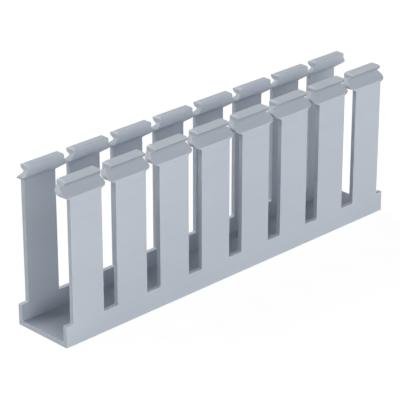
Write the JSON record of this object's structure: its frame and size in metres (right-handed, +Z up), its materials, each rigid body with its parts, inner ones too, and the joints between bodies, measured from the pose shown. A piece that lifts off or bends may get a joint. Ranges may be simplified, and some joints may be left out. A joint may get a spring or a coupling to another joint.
{
  "type": "slotted wire duct",
  "caption": "Slotted wiring duct, channel without its cover: flat floor, two walls cut into broad fingers with hooked heads that hold wires in and take a clip-on cover.",
  "frame": {"origin": "centre of the underside of the floor", "axes": "+X along the duct, +Y across it towards the back wall, +Z up from the floor to the heads"},
  "size_m": [0.16, 0.025, 0.06],
  "materials": {
    "duct": "rigid PVC extrusion in a light bluish grey, semi-matt"
  },
  "bodies": {
    "root": {"duct": "duct"}
  },
  "joints": []
}
